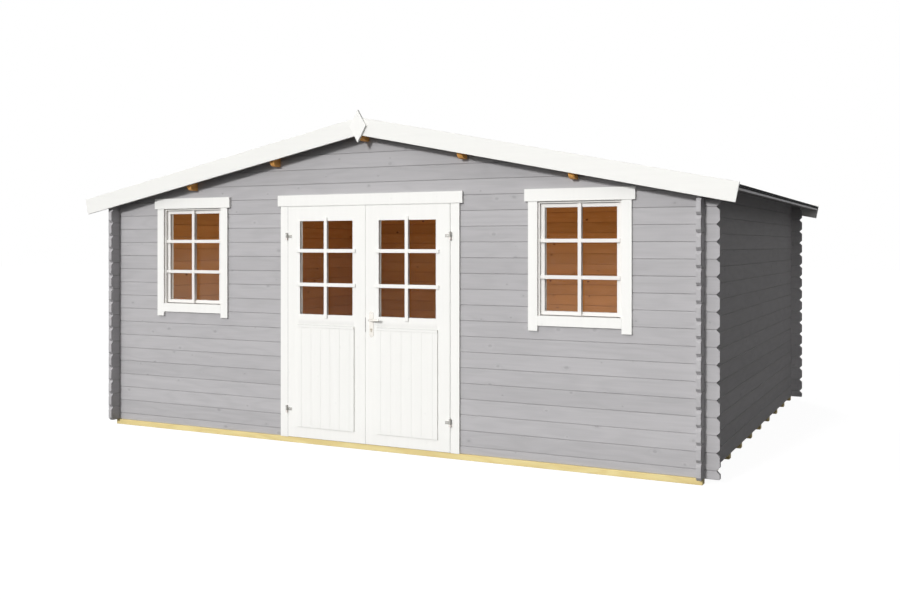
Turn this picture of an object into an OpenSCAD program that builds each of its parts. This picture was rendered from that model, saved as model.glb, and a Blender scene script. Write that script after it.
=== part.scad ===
// Log cabin with a low gable roof, built from notched tongue-and-groove logs.
// Millimetres, +Z up, +Y from the door wall to the rear wall.
// The origin is on the ground, at the centre of the plan.

/* [Walls] */
// Width over the outer faces of the side walls
cabin_w = 5370; // [5000:10:6400]
// Depth over the outer faces of the front and rear walls
cabin_d = 4220; // [3200:10:5200]
// Height of one log from joint to joint
log_pitch = 120; // [112:1:130]
// Thickness of a log
log_t = 34; // [28:1:48]
// Full logs between the half log at the base and the gable
wall_logs = 16; // [15:1:18]
// Length of a log past the face of the wall that it crosses
log_overhang = 105; // [80:5:140]
// Chamfer on the corners of each log end
end_chamfer = 24; // [8:1:28]
// Chamfer on the long edges, half of the groove that shows at a joint
edge_chamfer = 4; // [2:0.5:6]
// Width of each of the two tongues on a log
tongue_w = 5; // [4:0.5:6]
// Height of a tongue
tongue_h = 6; // [4:0.5:9]
// Joint left between neighbouring logs
log_gap = 0.3; // [0.2:0.1:0.5]

/* [Floor] */
// Number of bearers under the cabin
bearer_count = 10; // [7:1:12]
// Width of a bearer
bearer_w = 70; // [45:5:95]
// Height of a bearer
bearer_h = 45; // [35:5:70]
// How far the first and last bearers stand proud of the walls
bearer_proud = 12; // [0:1:20]
// Distance of a bearer's ends inside the outer faces of the side walls
bearer_inset = 9; // [0:1:16]
// Thickness of the floor boards
floor_t = 18; // [16:1:28]

/* [Roof] */
// Slope of the roof in degrees
roof_angle = 11.4; // [10:0.1:14]
// Height of the roof underside above the top full log, at the side walls
eave_rise = 35; // [30:1:60]
// Overhang of the roof past the side walls
eave_overhang = 228; // [180:1:320]
// Overhang of the roof past the front and rear walls, up to the fascia
gable_overhang = 112; // [110:1:200]
// Thickness of the roof boards
roof_board_t = 18; // [16:1:24]
// Thickness of the roofing felt
felt_t = 3; // [2:0.5:5]
// Depth of the felt turned down over the eave batten
felt_drop = 22; // [16:1:30]
// Width of a purlin
purlin_w = 44; // [38:1:60]
// Height of a purlin
purlin_h = 127; // [120:1:180]
// Distance from the ridge to the inner purlins
inner_purlin_x = 869; // [700:1:1000]
// Distance from the ridge to the outer purlins
outer_purlin_x = 1757; // [1500:1:1900]
// Radius of the rounded lower corner at a purlin end
purlin_nose = 55; // [20:1:60]
// Distance of a purlin end from the back of the fascia
purlin_setback = 14; // [5:1:30]

/* [Roof trim] */
// Height of a fascia board
fascia_h = 139; // [120:1:160]
// Thickness of a fascia board
fascia_t = 18; // [16:1:24]
// How far a fascia hangs below the roof underside
fascia_drop = 86; // [70:1:100]
// Height of the batten along the eave, from the underside of the roof boards
eave_batten_h = 37; // [32:1:60]
// Thickness of the batten along the eave
eave_batten_t = 18; // [16:1:24]
// Width of the diamond board at the gable tip
finial_w = 150; // [120:1:190]
// Height of the diamond board
finial_h = 258; // [220:1:300]
// Thickness of the diamond board
finial_t = 18; // [16:1:24]

/* [Door] */
// Width of the pair of door leaves
door_w = 1506; // [1400:2:1600]
// Thickness of the frame heads over the door and the windows
head_t = 60; // [45:1:75]
// Thickness of a door leaf
leaf_t = 40; // [36:1:50]
// How far the leaves stand proud of the trim boards
leaf_proud = 6; // [0:1:8]
// Width of the stiles and of the top rail, beside the glass
stile_w = 119.5; // [110:0.5:140]
// Height from the wall's foot to the lower edge of the glass
light_z = 1027; // [980:1:1100]
// Height of the lock rail between the glass and the lower panel
lock_rail_h = 85; // [70:1:110]
// Height of the bottom rail below the lower panel
bottom_rail_h = 90; // [70:1:120]
// Width of the stiles beside the lower panel
panel_stile_w = 102; // [90:1:115]
// How far the lower panel stands proud of the leaf
panel_proud = 8; // [5:1:14]
// Depth of the panel's recess in the inner face of the leaf
panel_recess = 10; // [5:1:16]
// Height of the drip strip along the top of the panel
drip_h = 22; // [16:1:30]
// How far the drip strip stands proud of the panel
drip_proud = 7; // [4:1:12]
// Depth of the groove that holds the glass
glass_groove = 10; // [6:1:14]
// Running gap round each leaf
door_gap = 5; // [5:0.5:6]
// Thickness of the frame members beside and over the leaves
door_jamb_t = 36; // [30:1:45]
// Height of the sill that the leaves close against
door_sill_h = 38; // [30:1:45]
// Width of the stop behind the leaves
door_stop_w = 14; // [10:1:20]
// Thickness of the glass
glass_t = 4; // [3:0.5:5]

/* [Windows] */
// Distance from the outer face of a side wall to the middle of a window
window_inset = 896; // [800:1:960]
// Width between the trim boards of a window
window_w = 638; // [560:2:700]
// Logs below the window opening, above the half log
window_sill_logs = 8; // [7:1:9]
// Thickness of the frame sill under a window
window_sill_t = 58; // [45:1:70]
// Part of the window frame that the trim hides
frame_lap = 36; // [25:1:45]
// Width of the window frame that shows beside the sash
frame_show = 13; // [8:1:26]
// Height of the window frame that shows over the sash
frame_head_show = 15; // [10:1:30]
// Height of the window frame that shows under the sash
frame_sill_show = 1; // [0:1:16]
// Joint left round a sash
sash_gap = 3; // [2:0.5:4]
// Joint left under a sash, where water drips off
sash_foot_gap = 6; // [3:0.5:8]
// Distance of the front of the sash behind the face of the wall
sash_inset = 20; // [10:1:30]
// Width of the sash member
sash_w = 28; // [22:1:40]
// Thickness of the sash
sash_t = 40; // [30:1:44]
// Thickness of the lip that the sash closes against
sash_lip = 10; // [8:1:16]
// Height of the trim legs below the lower trim board
trim_leg = 38; // [20:1:60]

/* [Trim boards] */
// Width of the trim boards round the door and the windows
trim_w = 74; // [66:1:90]
// Thickness of the trim boards
trim_t = 18; // [14:1:22]
// Height of the header boards
header_h = 91; // [80:1:110]
// Thickness of the header boards
header_t = 24; // [20:1:30]
// Length of a header board past the trim legs
header_overhang = 27; // [10:1:30]

/* [Door furniture] */
// Height of a hinge barrel
hinge_h = 60; // [50:1:80]
// Distance of a hinge pin past the edge of its leaf
hinge_out = 7; // [6:0.5:8]
// Radius of a hinge barrel
hinge_r = 8; // [7:0.5:9]
// Radius of a hinge pin
hinge_pin_r = 4.5; // [4:0.5:5]
// Length of the hinge arm on a leaf
hinge_arm = 46; // [34:1:54]
// Height of the hinge arm
hinge_arm_h = 24; // [18:1:30]
// Thickness of the hinge arm
hinge_arm_t = 3; // [2:0.5:4]
// Height from the wall's foot to the middle of the lower hinges
lower_hinge_z = 234; // [200:1:300]
// Height from the wall's foot to the middle of the upper hinges
upper_hinge_z = 1670; // [1600:1:1700]
// Height from the wall's foot to the door lever
lever_z = 1000; // [900:1:1030]
// Distance from the middle of the doorway to the lever's pivot
lever_x = 56; // [50:1:62]
// Length of the lever
lever_l = 86; // [80:1:110]
// Radius of the lever's bar
lever_r = 8; // [6:0.5:10]
// Distance of the lever's bar from the plate
lever_reach = 34; // [30:1:55]
// Height of the handle plate
plate_h = 204; // [160:1:240]
// Width of the handle plate
plate_w = 40; // [34:1:46]
// Thickness of the handle plate
plate_t = 3; // [2:0.5:4]
// Distance of the middle of the handle plate below the lever
plate_drop = 35; // [20:1:45]

/* [Hidden] */

$fn = 48;
seat = 0.3;                       // clearance between pieces that seat on each other
fit = 0.05;                       // radial clearance of a turning pin
big = 20;                         // reach of a cutter past the piece that it cuts

wall_z = bearer_h;                // foot of the walls
half_w = cabin_w / 2;
half_d = cabin_d / 2;
wall_top = wall_z + (wall_logs + 0.5) * log_pitch;
slope = tan(roof_angle);
ridge_z = wall_top + eave_rise + slope * half_w;
gable_logs = ceil((ridge_z - wall_top) / log_pitch);
roof_end_y = half_d + gable_overhang;
eave_x = half_w + eave_overhang;
top_rise = log_pitch * (gable_logs + 2);

header_z = wall_top - head_t;
leaf_z0 = wall_z + door_gap;
leaf_z1 = header_z - door_gap;
leaf_y0 = -half_d - trim_t - leaf_proud;  // front face of the leaves
leaf_y1 = leaf_y0 + leaf_t;
door_clear = door_w / 2 + door_gap;       // half width between the jambs
door_hole = door_clear + door_jamb_t;     // half width of the gap in the logs
pivot_x = door_w / 2 + hinge_out;
pivot_y = leaf_y0 - hinge_r - 2;
light_z0 = wall_z + light_z;
light_z1 = leaf_z1 - stile_w;
panel_z0 = leaf_z0 + bottom_rail_h;
panel_z1 = light_z0 - lock_rail_h;
leaf_mid = (leaf_y0 + leaf_y1) / 2;

window_hole = window_w / 2 + frame_lap;
window_x = half_w - window_inset;
window_hole_z0 = wall_z + (window_sill_logs + 0.5) * log_pitch;
window_z0 = window_hole_z0 + window_sill_t;   // top of the lower trim board
sash_hole = window_w / 2 - frame_show;    // half width of the gap in the frame
sash_z0 = window_z0 + frame_sill_show;
sash_z1 = header_z - frame_head_show;
sash_y0 = -half_d + sash_inset;
sash_y1 = sash_y0 + sash_t;

function roof_under(x) = ridge_z - slope * abs(x);

// ---------- logs ----------

// A box given by its two corners.
module block(a, b) { translate(a) cube(b - a); }

// Section of a log: x across its thickness, y up.
module log_section(h, tongues = true, grooves = true) {
    c = edge_chamfer;
    t = log_t;
    difference() {
        union() {
            polygon([[c, 0], [t - c, 0], [t, c], [t, h - c], [t - c, h], [c, h], [0, h - c], [0, c]]);
            if (tongues)
                for (x = [t / 3, 2 * t / 3])
                    translate([x - tongue_w / 2, h - 1]) square([tongue_w, tongue_h + 1]);
        }
        if (grooves)
            for (x = [t / 3, 2 * t / 3])
                translate([x - tongue_w / 2 - seat, -1]) square([tongue_w + 2 * seat, tongue_h + 1 + seat]);
    }
}

// Outline of a log from its side, with the corners of its free ends cut off; foot is the lower cut.
module log_outline(a, b, h, cut_a, cut_b, foot) {
    e = end_chamfer;
    top = h + tongue_h;
    left = cut_a ? [[a + e + tongue_h, top], [a, h - e], [a, foot], [a + foot, 0]] : [[a, top], [a, 0]];
    right = cut_b ? [[b - foot, 0], [b, foot], [b, h - e], [b - e - tongue_h, top]] : [[b, 0], [b, top]];
    polygon(concat(left, right));
}

// A log of the front or rear wall, from x = a to x = b, outer face at y on the side of sign.
module cross_log(a, b, y, z, h, cut_a, cut_b, low_notch, high_notch, tongues = true, grooves = true,
                 foot = end_chamfer) {
    difference() {
        intersection() {
            translate([a, y, z]) rotate([90, 0, 90]) linear_extrude(b - a) log_section(h, tongues, grooves);
            translate([0, y + log_t + 1, z]) rotate([90, 0, 0]) linear_extrude(log_t + 2)
                log_outline(a, b, h, cut_a, cut_b, foot);
        }
        for (s = [-1, 1])
            translate([s * (half_w - log_t / 2) - log_t / 2 - seat, y - 1, 0]) {
                translate([0, 0, z - big]) cube([log_t + 2 * seat, log_t + 2, low_notch + big]);
                translate([0, 0, z + h - high_notch]) cube([log_t + 2 * seat, log_t + 2, high_notch + big]);
            }
    }
}

// A log of a side wall, with its outer face at x on the side of sign.
module side_log(x, z, h, low_notch, high_notch, tongues = true) {
    end_y = half_d + log_overhang;
    difference() {
        intersection() {
            translate([x, end_y, z]) rotate([90, 0, 0]) linear_extrude(2 * end_y) log_section(h, tongues);
            translate([x - 1, 0, z]) rotate([90, 0, 90]) linear_extrude(log_t + 2)
                log_outline(-end_y, end_y, h, true, true, end_chamfer);
        }
        for (s = [-1, 1])
            translate([x - 1, s * (half_d - log_t / 2) - log_t / 2 - seat, 0]) {
                translate([0, 0, z - big]) cube([log_t + 2, log_t + 2 * seat, low_notch + big]);
                translate([0, 0, z + h - high_notch]) cube([log_t + 2, log_t + 2 * seat, high_notch + big]);
            }
    }
}

quarter = log_pitch / 4;
log_h = log_pitch - log_gap;
log_end = half_w + log_overhang;

// Space below the roof boards, between two planes across the cabin.
module under_roof(y0, y1, drop = 0) {
    x = eave_x + big;
    translate([0, y1, 0]) rotate([90, 0, 0]) linear_extrude(y1 - y0)
        polygon([[-x, 0], [x, 0], [x, roof_under(x) - drop], [0, ridge_z - drop], [-x, roof_under(x) - drop]]);
}

// Slots that the purlins pass through.
module purlin_slots() {
    for (x = [-outer_purlin_x, -inner_purlin_x, 0, inner_purlin_x, outer_purlin_x])
        translate([x - purlin_w / 2 - seat, -roof_end_y, purlin_foot(x) - seat])
            cube([purlin_w + 2 * seat, 2 * roof_end_y, purlin_h * 2]);
}

function purlin_foot(x) = roof_under(x) - purlin_h;

// Rows of whole logs of the front or rear wall between x = a and x = b.
module cross_rows(a, b, y, cut_a, cut_b, rows) {
    for (k = rows)
        cross_log(a, b, y, wall_z + (k + 0.5) * log_pitch, log_h, cut_a, cut_b, quarter, quarter);
}

// The half log at the base, whose lower edge is left square.
module half_log(a, b, y, cut_a, cut_b) {
    cross_log(a, b, y, wall_z, log_pitch / 2 - log_gap, cut_a, cut_b, 0, quarter, true, false, edge_chamfer);
}

// Logs of the gable, cut to the roof and slotted for the purlins.
module gable_rows(y) {
    difference() {
        intersection() {
            for (g = [0 : gable_logs - 1])
                cross_log(-log_end, log_end, y, wall_top + g * log_pitch, log_h, true, true, 0, 0, g < gable_logs - 1);
            under_roof(y - 1, y + log_t + 1, seat);
        }
        purlin_slots();
    }
}

module front_wall_half(s) {
    y = -half_d;
    low = [0 : window_sill_logs - 1];
    high = [window_sill_logs : wall_logs - 1];
    mirror([s < 0 ? 1 : 0, 0, 0]) {
        half_log(door_hole, log_end, y, false, true);
        difference() {
            cross_rows(door_hole, log_end, y, false, true, low);
            block([window_x - window_hole, y - 1, window_hole_z0 - log_gap],
                  [window_x + window_hole, y + log_t + 1, window_hole_z0 + big]);
        }
        cross_rows(door_hole, window_x - window_hole, y, false, false, high);
        cross_rows(window_x + window_hole, log_end, y, false, true, high);
    }
}

module front_wall_left() { color("#b4b2b4") front_wall_half(-1); }
module front_wall_right() { color("#b4b2b4") front_wall_half(1); }
module front_gable() { color("#b4b2b4") gable_rows(-half_d); }

module rear_wall() {
    color("#b4b2b4") {
        half_log(-log_end, log_end, half_d - log_t, true, true);
        cross_rows(-log_end, log_end, half_d - log_t, true, true, [0 : wall_logs - 1]);
    }
}

module rear_gable() { color("#b4b2b4") gable_rows(half_d - log_t); }

module side_wall(s) {
    x = s * (half_w - log_t / 2) - log_t / 2;
    for (k = [0 : wall_logs - 1])
        side_log(x, wall_z + k * log_pitch, log_h, quarter, quarter);
    intersection() {
        side_log(x, wall_z + wall_logs * log_pitch, log_h, quarter, 2 * quarter, false);
        under_roof(-log_end - half_d, log_end + half_d, seat);
    }
}

module left_wall() { color("#b4b2b4") side_wall(-1); }
module right_wall() { color("#b4b2b4") side_wall(1); }

// ---------- floor ----------

bearer_y = half_d + bearer_proud - bearer_w / 2;
bearer_step = 2 * bearer_y / (bearer_count - 1);

module bearer(y) {
    x = half_w - bearer_inset;
    block([-x, y - bearer_w / 2, 0], [x, y + bearer_w / 2, bearer_h]);
}

module front_bearer() { color("#e4d08c") bearer(-bearer_y); }

module floor_bearers() {
    color("#e4d08c") for (i = [1 : bearer_count - 1]) bearer(-bearer_y + i * bearer_step);
}

module floor() {
    x = half_w - log_t - 2;
    y = half_d - log_t - 2;
    color("#d8b982") translate([-x, -y, wall_z]) cube([2 * x, 2 * y, floor_t]);
}

// ---------- roof ----------

// A purlin, with its top bevelled to the roof and its lower end corners rounded.
module purlin(x) {
    z = purlin_foot(x);
    r = purlin_nose;
    end_y = roof_end_y - purlin_setback;
    color("#c98b4a") intersection() {
        difference() {
            translate([x - purlin_w / 2, -end_y, z]) cube([purlin_w, 2 * end_y, purlin_h + purlin_w]);
            for (s = [-1, 1])
                translate([x, s * (end_y - r), z + r])
                    difference() {
                        translate([-purlin_w, s > 0 ? 0 : -r - 1, -r - 1]) cube([2 * purlin_w, r + 1, r + 1]);
                        rotate([0, 90, 0]) cylinder(h = 3 * purlin_w, r = r, center = true);
                    }
        }
        under_roof(-roof_end_y - 1, roof_end_y + 1, seat);
    }
}

module ridge_purlin() { purlin(0); }
module left_purlins() { purlin(-inner_purlin_x); purlin(-outer_purlin_x); }
module right_purlins() { purlin(inner_purlin_x); purlin(outer_purlin_x); }

// A layer on one side of the roof, from height lo to hi above the underside.
module roof_layer(s, lo, hi, x_end, y_end) {
    translate([0, y_end, 0]) rotate([90, 0, 0]) linear_extrude(2 * y_end)
        polygon([[s * seat / 2, roof_under(seat / 2) + lo], [s * x_end, roof_under(x_end) + lo],
                 [s * x_end, roof_under(x_end) + hi], [s * seat / 2, roof_under(seat / 2) + hi]]);
}

board_rise = roof_board_t / cos(roof_angle);
felt_rise = felt_t / cos(roof_angle);

module roof_boards(s) { color("#d9b47a") roof_layer(s, 0, board_rise, eave_x, roof_end_y); }

// Felt over the boards, up and over the batten along the eave and down its outer face.
module roof_felt(s) {
    lay = board_rise + seat;
    cap = eave_batten_h + seat;
    x_in = eave_x - seat;
    x_out = eave_x + eave_batten_t + seat;
    t = felt_t;
    profile = [[seat / 2, lay], [x_in, lay], [x_in, cap], [x_out, cap], [x_out, eave_batten_h - felt_drop],
               [x_out + t, eave_batten_h - felt_drop], [x_out + t, cap + felt_rise],
               [x_in - t, cap + felt_rise], [x_in - t, lay + felt_rise], [seat / 2, lay + felt_rise]];
    color("#26262a") translate([0, roof_end_y, 0]) rotate([90, 0, 0]) linear_extrude(2 * roof_end_y)
        polygon([for (p = profile) [s * p[0], roof_under(p[0]) + p[1]]]);
}

module eave_batten(s) {
    x = eave_x + eave_batten_t;
    color("#b9b7b9") translate([0, roof_end_y, 0]) rotate([90, 0, 0]) linear_extrude(2 * roof_end_y)
        polygon([[s * eave_x, roof_under(eave_x)], [s * x, roof_under(x)],
                 [s * x, roof_under(x) + eave_batten_h], [s * eave_x, roof_under(eave_x) + eave_batten_h]]);
}

// A fascia board from the gable tip to the eave, with its end cut square.
module fascia(s, front) {
    y = front ? -roof_end_y - fascia_t : roof_end_y;
    fascia_l = (eave_x + eave_batten_t + felt_t) / cos(roof_angle);
    x = half_w * 2;
    color("#f8f8f4") intersection() {
        translate([0, y, ridge_z]) rotate([0, s * roof_angle, 0])
            translate([s > 0 ? -fascia_h : -fascia_l, 0, -fascia_drop])
                cube([fascia_l + fascia_h, fascia_t, fascia_h]);
        translate([s > 0 ? seat / 2 : -x - seat / 2, y - 1, 0]) cube([x, fascia_t + 2, ridge_z + fascia_h]);
    }
}

module finial(front) {
    y = front ? -roof_end_y - fascia_t : roof_end_y + fascia_t + finial_t;
    mid = ridge_z - fascia_drop / cos(roof_angle) + fascia_h / 2;
    color("#f8f8f4") translate([0, y, mid]) rotate([90, 0, 0]) linear_extrude(finial_t)
        polygon([[0, -finial_h / 2], [finial_w / 2, 0], [0, finial_h / 2], [-finial_w / 2, 0]]);
}

module left_roof_boards() { roof_boards(-1); }
module right_roof_boards() { roof_boards(1); }
module left_roof_felt() { roof_felt(-1); }
module right_roof_felt() { roof_felt(1); }
module left_eave_batten() { eave_batten(-1); }
module right_eave_batten() { eave_batten(1); }
module front_left_fascia() { fascia(-1, true); }
module front_right_fascia() { fascia(1, true); }
module rear_left_fascia() { fascia(-1, false); }
module rear_right_fascia() { fascia(1, false); }
module front_finial() { finial(true); }
module rear_finial() { finial(false); }

// ---------- door ----------

module door_frame() {
    y0 = -half_d;
    y1 = -half_d + log_t;
    top = wall_top - seat;
    x1 = door_hole - seat;
    stop = door_clear - door_stop_w - door_gap;
    stop_y = leaf_y1 + door_gap;
    inner = y1 + trim_t;
    color("#f8f8f4") difference() {
        union() {
            block([-x1, y0, wall_z], [x1, y1, top]);
            block([-x1 - trim_w + door_jamb_t, y1, wall_z + floor_t + seat],
                  [x1 + trim_w - door_jamb_t, inner, top]);
        }
        block([-door_clear, y0 - 1, wall_z - 1], [door_clear, stop_y, header_z]);
        block([-stop, stop_y - 1, wall_z + door_sill_h], [stop, inner + 1, header_z - door_stop_w]);
    }
}

module door_trim() {
    y = -half_d;
    outer = door_clear + trim_w;
    color("#f8f8f4") {
        for (s = [-1, 1])
            block([s > 0 ? door_clear : -outer, y - trim_t, wall_z],
                  [s > 0 ? outer : -door_clear, y, header_z - seat]);
        block([-outer - header_overhang, y - header_t, header_z],
              [outer + header_overhang, y, header_z + header_h]);
    }
}

// A leaf is drawn as the right one, with its outer edge at x = door_w / 2.
leaf_x0 = door_gap / 2;
leaf_x1 = door_w / 2;

// A box across the leaf's width, kept side away from both long edges.
module leaf_block(side, y0, y1, z0, z1) {
    block([leaf_x0 + side, y0, z0], [leaf_x1 - side, y1, z1]);
}

// Boarded panel on the outer face of the leaf, with a drip strip along its top.
module lower_panel() {
    leaf_block(panel_stile_w, leaf_y0 - panel_proud, leaf_y0 + 1, panel_z0, panel_z1);
    difference() {
        leaf_block(panel_stile_w, leaf_y0 - panel_proud - drip_proud, leaf_y0 + 1, panel_z1 - drip_h, panel_z1);
        translate([0, leaf_y0 - panel_proud - drip_proud, panel_z1]) rotate([30, 0, 0])
            translate([0, -big, 0]) cube([door_w, 2 * big, big]);
    }
}

module leaf_body() {
    groove = stile_w - glass_groove - seat;
    difference() {
        union() {
            leaf_block(0, leaf_y0, leaf_y1, leaf_z0, leaf_z1);
            lower_panel();
        }
        leaf_block(stile_w, leaf_y0 - 1, leaf_y1 + 1, light_z0, light_z1);
        leaf_block(groove, leaf_mid - glass_t / 2 - seat, leaf_mid + glass_t / 2 + seat,
                   light_z0 - glass_groove - seat, light_z1 + glass_groove + seat);
        leaf_block(panel_stile_w, leaf_y1 - panel_recess, leaf_y1 + 1, panel_z0, panel_z1);
    }
}

module leaf_glass() {
    leaf_block(stile_w - glass_groove, leaf_mid - glass_t / 2, leaf_mid + glass_t / 2,
               light_z0 - glass_groove, light_z1 + glass_groove);
}

module right_door() {
    color("#f8f8f4") difference() {
        leaf_body();
        translate([lever_x, leaf_y0 - 1, wall_z + lever_z]) rotate([-90, 0, 0])
            cylinder(h = leaf_t + 2, r = lever_r + 1);
    }
}
module left_door() { color("#f8f8f4") mirror([1, 0, 0]) leaf_body(); }
module right_door_glass() { color("#b8c8cc", 0.35) leaf_glass(); }
module left_door_glass() { color("#b8c8cc", 0.35) mirror([1, 0, 0]) leaf_glass(); }

hinge_heights = [lower_hinge_z, upper_hinge_z];
hinge_split = -hinge_arm_h / 2;           // joint between the two knuckles of a barrel
hinge_reach = leaf_y0 - pivot_y;          // from the pivot back to the leaf

// Upper knuckle of each barrel, with the arm that a leaf carries.
module hinge_wing_pair() {
    for (h = hinge_heights)
        translate([pivot_x, pivot_y, wall_z + h]) difference() {
            union() {
                translate([0, 0, hinge_split + seat]) cylinder(h = (hinge_h + hinge_arm_h) / 2 - seat, r = hinge_r);
                block([-hinge_arm, hinge_reach - hinge_arm_t, hinge_split + seat],
                      [-hinge_r, hinge_reach, -hinge_split]);
                block([-hinge_r - 3, 0, hinge_split + seat], [2 - hinge_r, hinge_reach, -hinge_split]);
            }
            translate([0, 0, hinge_split - 1]) cylinder(h = hinge_h / 2, r = hinge_pin_r + fit);
        }
}

module right_hinge_wings() { color("#a8abae") hinge_wing_pair(); }
module left_hinge_wings() { color("#a8abae") mirror([1, 0, 0]) hinge_wing_pair(); }

// Lower knuckle of each barrel, with its pin and the lug that holds it to the trim.
module hinge_pins() {
    face = -half_d - trim_t - pivot_y;
    color("#a8abae") for (s = [0, 1]) mirror([s, 0, 0])
        for (h = hinge_heights)
            translate([pivot_x, pivot_y, wall_z + h]) {
                translate([0, 0, -hinge_h / 2]) cylinder(h = hinge_h / 2 + hinge_split, r = hinge_r);
                translate([0, 0, hinge_split - 1]) cylinder(h = hinge_h / 2 - 3, r = hinge_pin_r);
                block([0, 0, -hinge_h / 2], [hinge_r, face, hinge_split]);
            }
}

module handle_plate(y) {
    translate([lever_x, y, wall_z + lever_z]) rotate([90, 0, 0]) linear_extrude(plate_t) difference() {
        union() {
            translate([0, -plate_drop]) square([plate_w, plate_h - plate_w], center = true);
            for (s = [-1, 1]) translate([0, s * (plate_h - plate_w) / 2 - plate_drop]) circle(d = plate_w);
        }
        circle(r = lever_r + fit);
    }
}

module handle_plates() {
    color("#a8abae") {
        handle_plate(leaf_y0);
        handle_plate(leaf_y1 + plate_t);
    }
}

module lever_bar(y) {
    translate([0, y, 0]) {
        rotate([0, 90, 0]) cylinder(h = lever_l, r = lever_r);
        sphere(r = lever_r);
        translate([lever_l, 0, 0]) sphere(r = lever_r);
    }
}

module door_lever() {
    reach = lever_reach + lever_r;
    color("#a8abae") translate([lever_x, 0, wall_z + lever_z]) {
        translate([0, leaf_y0 - reach, 0]) rotate([-90, 0, 0]) cylinder(h = leaf_t + 2 * reach, r = lever_r);
        lever_bar(leaf_y0 - reach);
        lever_bar(leaf_y1 + reach);
    }
}

// ---------- windows ----------

module window_frame() {
    y0 = -half_d;
    y1 = -half_d + log_t;
    x = window_hole - seat;
    z0 = window_hole_z0;
    z1 = wall_top - seat;
    back = sash_y1 + seat + sash_lip;
    wide = window_w / 2 + trim_w;
    color("#f8f8f4") difference() {
        union() {
            block([-x, y0, z0], [x, back, z1]);
            block([-wide, y1, window_z0 - trim_w], [wide, y1 + trim_t, z1]);
        }
        block([-sash_hole, y0 - 1, sash_z0], [sash_hole, sash_y1 + seat, sash_z1]);
        block([-sash_hole + sash_lip, y0, sash_z0 + sash_lip],
              [sash_hole - sash_lip, back + 1, sash_z1 - sash_lip]);
    }
}

// A box in the window, kept side in from the edges of the sash all round.
module sash_block(side, y0, y1) {
    x = sash_hole - sash_gap - side;
    block([-x, y0, sash_z0 + sash_foot_gap + side], [x, y1, sash_z1 - sash_gap - side]);
}

sash_mid = (sash_y0 + sash_y1) / 2;
glass_side = sash_w / 2;

module window_sash() {
    color("#f8f8f4") difference() {
        sash_block(0, sash_y0, sash_y1);
        sash_block(sash_w, sash_y0 - 1, sash_y1 + 1);
        sash_block(glass_side, sash_mid - glass_t / 2 - seat, sash_mid + glass_t / 2 + seat);
    }
}

module window_glass() {
    color("#b8c8cc", 0.35) sash_block(glass_side + seat, sash_mid - glass_t / 2, sash_mid + glass_t / 2);
}

module window_trim() {
    y = -half_d;
    in_x = window_w / 2;
    out_x = in_x + trim_w;
    z = window_z0;
    color("#f8f8f4") {
        for (s = [-1, 1])
            block([s > 0 ? in_x : -out_x, y - trim_t, z - trim_w - trim_leg],
                  [s > 0 ? out_x : -in_x, y, header_z - seat]);
        block([-in_x + seat, y - trim_t, z - trim_w], [in_x - seat, y, z]);
        block([-out_x - header_overhang, y - header_t, header_z],
              [out_x + header_overhang, y, header_z + header_h]);
    }
}

module left_window_frame() { translate([-window_x, 0, 0]) window_frame(); }
module left_window_sash() { translate([-window_x, 0, 0]) window_sash(); }
module left_window_glass() { translate([-window_x, 0, 0]) window_glass(); }
module left_window_trim() { translate([-window_x, 0, 0]) window_trim(); }
module right_window_frame() { translate([window_x, 0, 0]) window_frame(); }
module right_window_sash() { translate([window_x, 0, 0]) window_sash(); }
module right_window_glass() { translate([window_x, 0, 0]) window_glass(); }
module right_window_trim() { translate([window_x, 0, 0]) window_trim(); }

front_bearer();
floor_bearers();
floor();
front_wall_left();
front_wall_right();
front_gable();
rear_wall();
rear_gable();
left_wall();
right_wall();
ridge_purlin();
left_purlins();
right_purlins();
left_roof_boards();
right_roof_boards();
left_roof_felt();
right_roof_felt();
front_left_fascia();
front_right_fascia();
rear_left_fascia();
rear_right_fascia();
front_finial();
rear_finial();
left_eave_batten();
right_eave_batten();
door_frame();
door_trim();
left_door();
right_door();
left_door_glass();
right_door_glass();
left_hinge_wings();
right_hinge_wings();
hinge_pins();
handle_plates();
door_lever();
left_window_frame();
left_window_sash();
left_window_glass();
left_window_trim();
right_window_frame();
right_window_sash();
right_window_glass();
right_window_trim();
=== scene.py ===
"""Log cabin: finishes, bars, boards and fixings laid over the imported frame."""

import math

import bmesh
import bpy
from mathutils import Matrix, Vector


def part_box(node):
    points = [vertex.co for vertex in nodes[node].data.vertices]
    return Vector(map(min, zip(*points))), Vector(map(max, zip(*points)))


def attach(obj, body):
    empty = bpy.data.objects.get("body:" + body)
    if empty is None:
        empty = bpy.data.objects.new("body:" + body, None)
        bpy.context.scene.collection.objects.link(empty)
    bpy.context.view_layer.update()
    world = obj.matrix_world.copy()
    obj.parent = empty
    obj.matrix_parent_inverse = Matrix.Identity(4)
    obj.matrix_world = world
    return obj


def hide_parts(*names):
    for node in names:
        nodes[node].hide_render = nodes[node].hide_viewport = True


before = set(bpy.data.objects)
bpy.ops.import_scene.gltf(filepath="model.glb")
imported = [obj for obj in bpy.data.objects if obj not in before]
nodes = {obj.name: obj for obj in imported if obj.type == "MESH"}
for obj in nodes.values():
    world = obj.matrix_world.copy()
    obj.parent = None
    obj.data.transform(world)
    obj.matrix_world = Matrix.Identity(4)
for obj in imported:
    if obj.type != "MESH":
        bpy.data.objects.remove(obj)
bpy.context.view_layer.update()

# ---------- the cabin's own sizes, in metres ----------

LOG_PITCH = 0.120
LOG_THICKNESS = 0.034
ROOF_ANGLE = math.radians(11.4)
ROOF_BOARD_THICKNESS = 0.018
ROOF_BOARDS = 47                 # on each side, from the front of the roof to the rear
FLOOR_BOARDS = 56
SEAT = 0.0003                    # play left between parts that lie against each other
HAIR = 0.0001                    # keeps two faces out of one plane
SIDES = (("left", -1), ("right", 1))

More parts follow.
